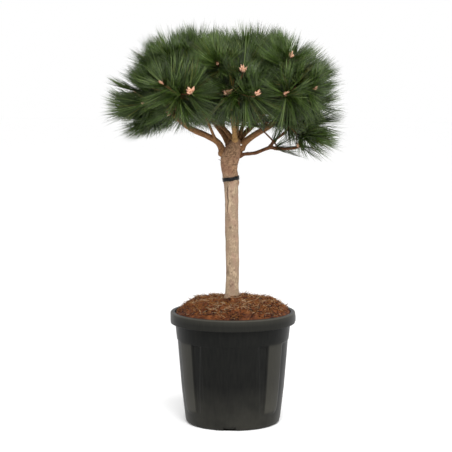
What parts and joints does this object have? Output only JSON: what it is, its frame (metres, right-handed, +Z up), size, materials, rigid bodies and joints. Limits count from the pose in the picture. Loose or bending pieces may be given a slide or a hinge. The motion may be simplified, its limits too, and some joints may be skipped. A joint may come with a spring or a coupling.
{
  "type": "potted austrian pine standard",
  "caption": "Young Austrian pine with a broad crown of long needles grafted on a short clear stem, in a round black nursery container.",
  "frame": {"origin": "centre of the container's flat underside, which stands on the ground", "axes": "+Z up along the stem, -Y towards the front as pictured, +X to the right"},
  "size_m": [0.698, 0.6293, 1.1511],
  "materials": {
    "pot_plastic": "injection-moulded black polypropylene with a soft sheen",
    "mulch": "moist shredded bark and coconut fibre",
    "bark": "rough young pine bark",
    "tie": "black grafting tape",
    "needles": "dark green waxy needles"
  },
  "bodies": {
    "root": {"pot": "pot_plastic", "substrate": "mulch", "trunk": "bark", "graft_tie": "tie", "bough_left": "bark", "bough_right": "bark", "bough_low_right": "bark", "bough_front": "bark", "bough_inner_left": "bark", "bough_inner_right": "bark", "bough_upright": "bark", "bough_back_left": "bark", "bough_back_right": "bark", "bough_back": "bark", "shoot_left": "bark", "branch_crest_left": "bark", "branch_right": "bark", "branch_right_top": "bark", "branch_front_top": "bark", "branch_low_upper": "bark", "branch_low_lower": "bark", "foliage_left": "needles", "foliage_front_left": "needles", "foliage_front": "needles", "foliage_front_right": "needles", "foliage_right": "needles", "foliage_right_low": "needles", "foliage_back_right": "needles", "foliage_back": "needles", "foliage_back_left": "needles", "foliage_top_left": "needles", "foliage_top_front": "needles", "foliage_top_right": "needles", "foliage_top_back": "needles", "foliage_crest_left": "needles", "foliage_crest_right": "needles"}
  },
  "joints": []
}
